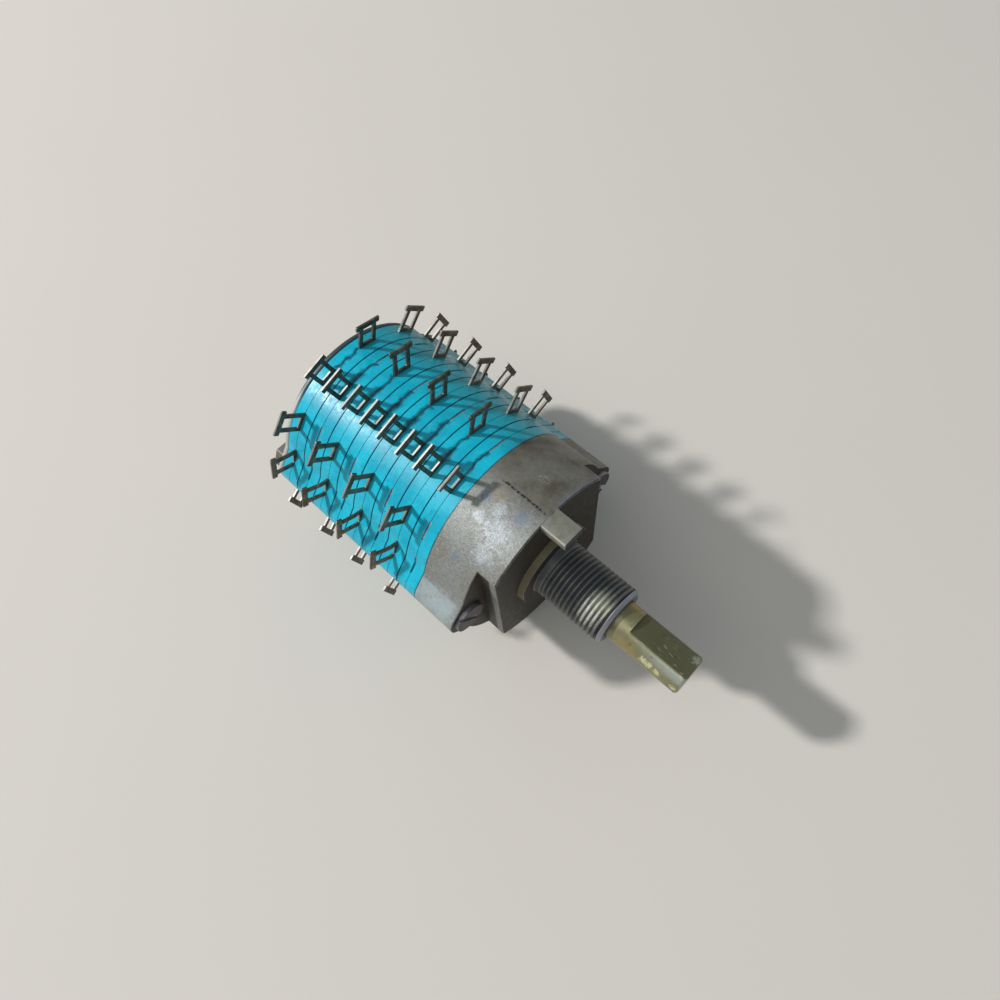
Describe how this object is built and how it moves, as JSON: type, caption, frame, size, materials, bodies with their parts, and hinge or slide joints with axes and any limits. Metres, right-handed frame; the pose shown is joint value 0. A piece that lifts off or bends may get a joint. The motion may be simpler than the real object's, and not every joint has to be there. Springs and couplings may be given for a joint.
{
  "type": "rotary switch",
  "caption": "Stacked multi-deck rotary switch with a threaded bushing, a flatted shaft, a locating lug and rows of windowed solder terminals.",
  "frame": {"origin": "on the shaft's axis, in the plane of the collar face that seats on the panel", "axes": "-Y out along the shaft, +Z towards the locating lug, +X to the right seen from the front"},
  "size_m": [0.04, 0.0718, 0.04],
  "materials": {
    "cast_metal": "dull die cast with pale oxide",
    "bushing_metal": "dark plating, worn on the crests",
    "shaft_brass": "worn plating over brass",
    "contact_bronze": "clean spring metal",
    "dark_moulding": "matt moulding",
    "bright_steel": "polished",
    "plated_steel": "dull zinc plating",
    "teal_moulding": "satin moulding with grime in its seams",
    "tinned_terminal": "tarnished plating with bright edges"
  },
  "bodies": {
    "switch_body": {"housing": "cast_metal", "bushing": "bushing_metal", "detent_cover": "plated_steel", "stop_pin": "bright_steel", "common_wafer_1": "teal_moulding", "throw_wafer_1": "teal_moulding", "collector_ring_1": "tinned_terminal", "cropped_leads_1": "tinned_terminal", "throw_terminals_1": "tinned_terminal", "common_wafer_2": "teal_moulding", "throw_wafer_2": "teal_moulding", "collector_ring_2": "tinned_terminal", "cropped_leads_2": "tinned_terminal", "throw_terminals_2": "tinned_terminal", "common_wafer_3": "teal_moulding", "throw_wafer_3": "teal_moulding", "collector_ring_3": "tinned_terminal", "cropped_leads_3": "tinned_terminal", "throw_terminals_3": "tinned_terminal", "common_wafer_4": "teal_moulding", "throw_wafer_4": "teal_moulding", "collector_ring_4": "tinned_terminal", "cropped_leads_4": "tinned_terminal", "throw_terminals_4": "tinned_terminal", "end_plate": "plated_steel", "tie_screws": "plated_steel", "lock_washers": "plated_steel", "tie_nuts": "plated_steel"},
    "turning_parts": {"shaft": "shaft_brass", "thrust_washer": "contact_bronze", "detent_rotor": "dark_moulding", "detent_springs": "bright_steel", "detent_balls": "bright_steel", "rotor_1": "dark_moulding", "wiper_1": "contact_bronze", "rotor_2": "dark_moulding", "wiper_2": "contact_bronze", "rotor_3": "dark_moulding", "wiper_3": "contact_bronze", "rotor_4": "dark_moulding", "wiper_4": "contact_bronze"}
  },
  "joints": [
    {"name": "shaft_turn", "type": "hinge", "parent": "switch_body", "child": "turning_parts", "pos_m": [0, 0, 0], "axis": [0, 1, 0], "range_deg": [-150, 180]}
  ]
}
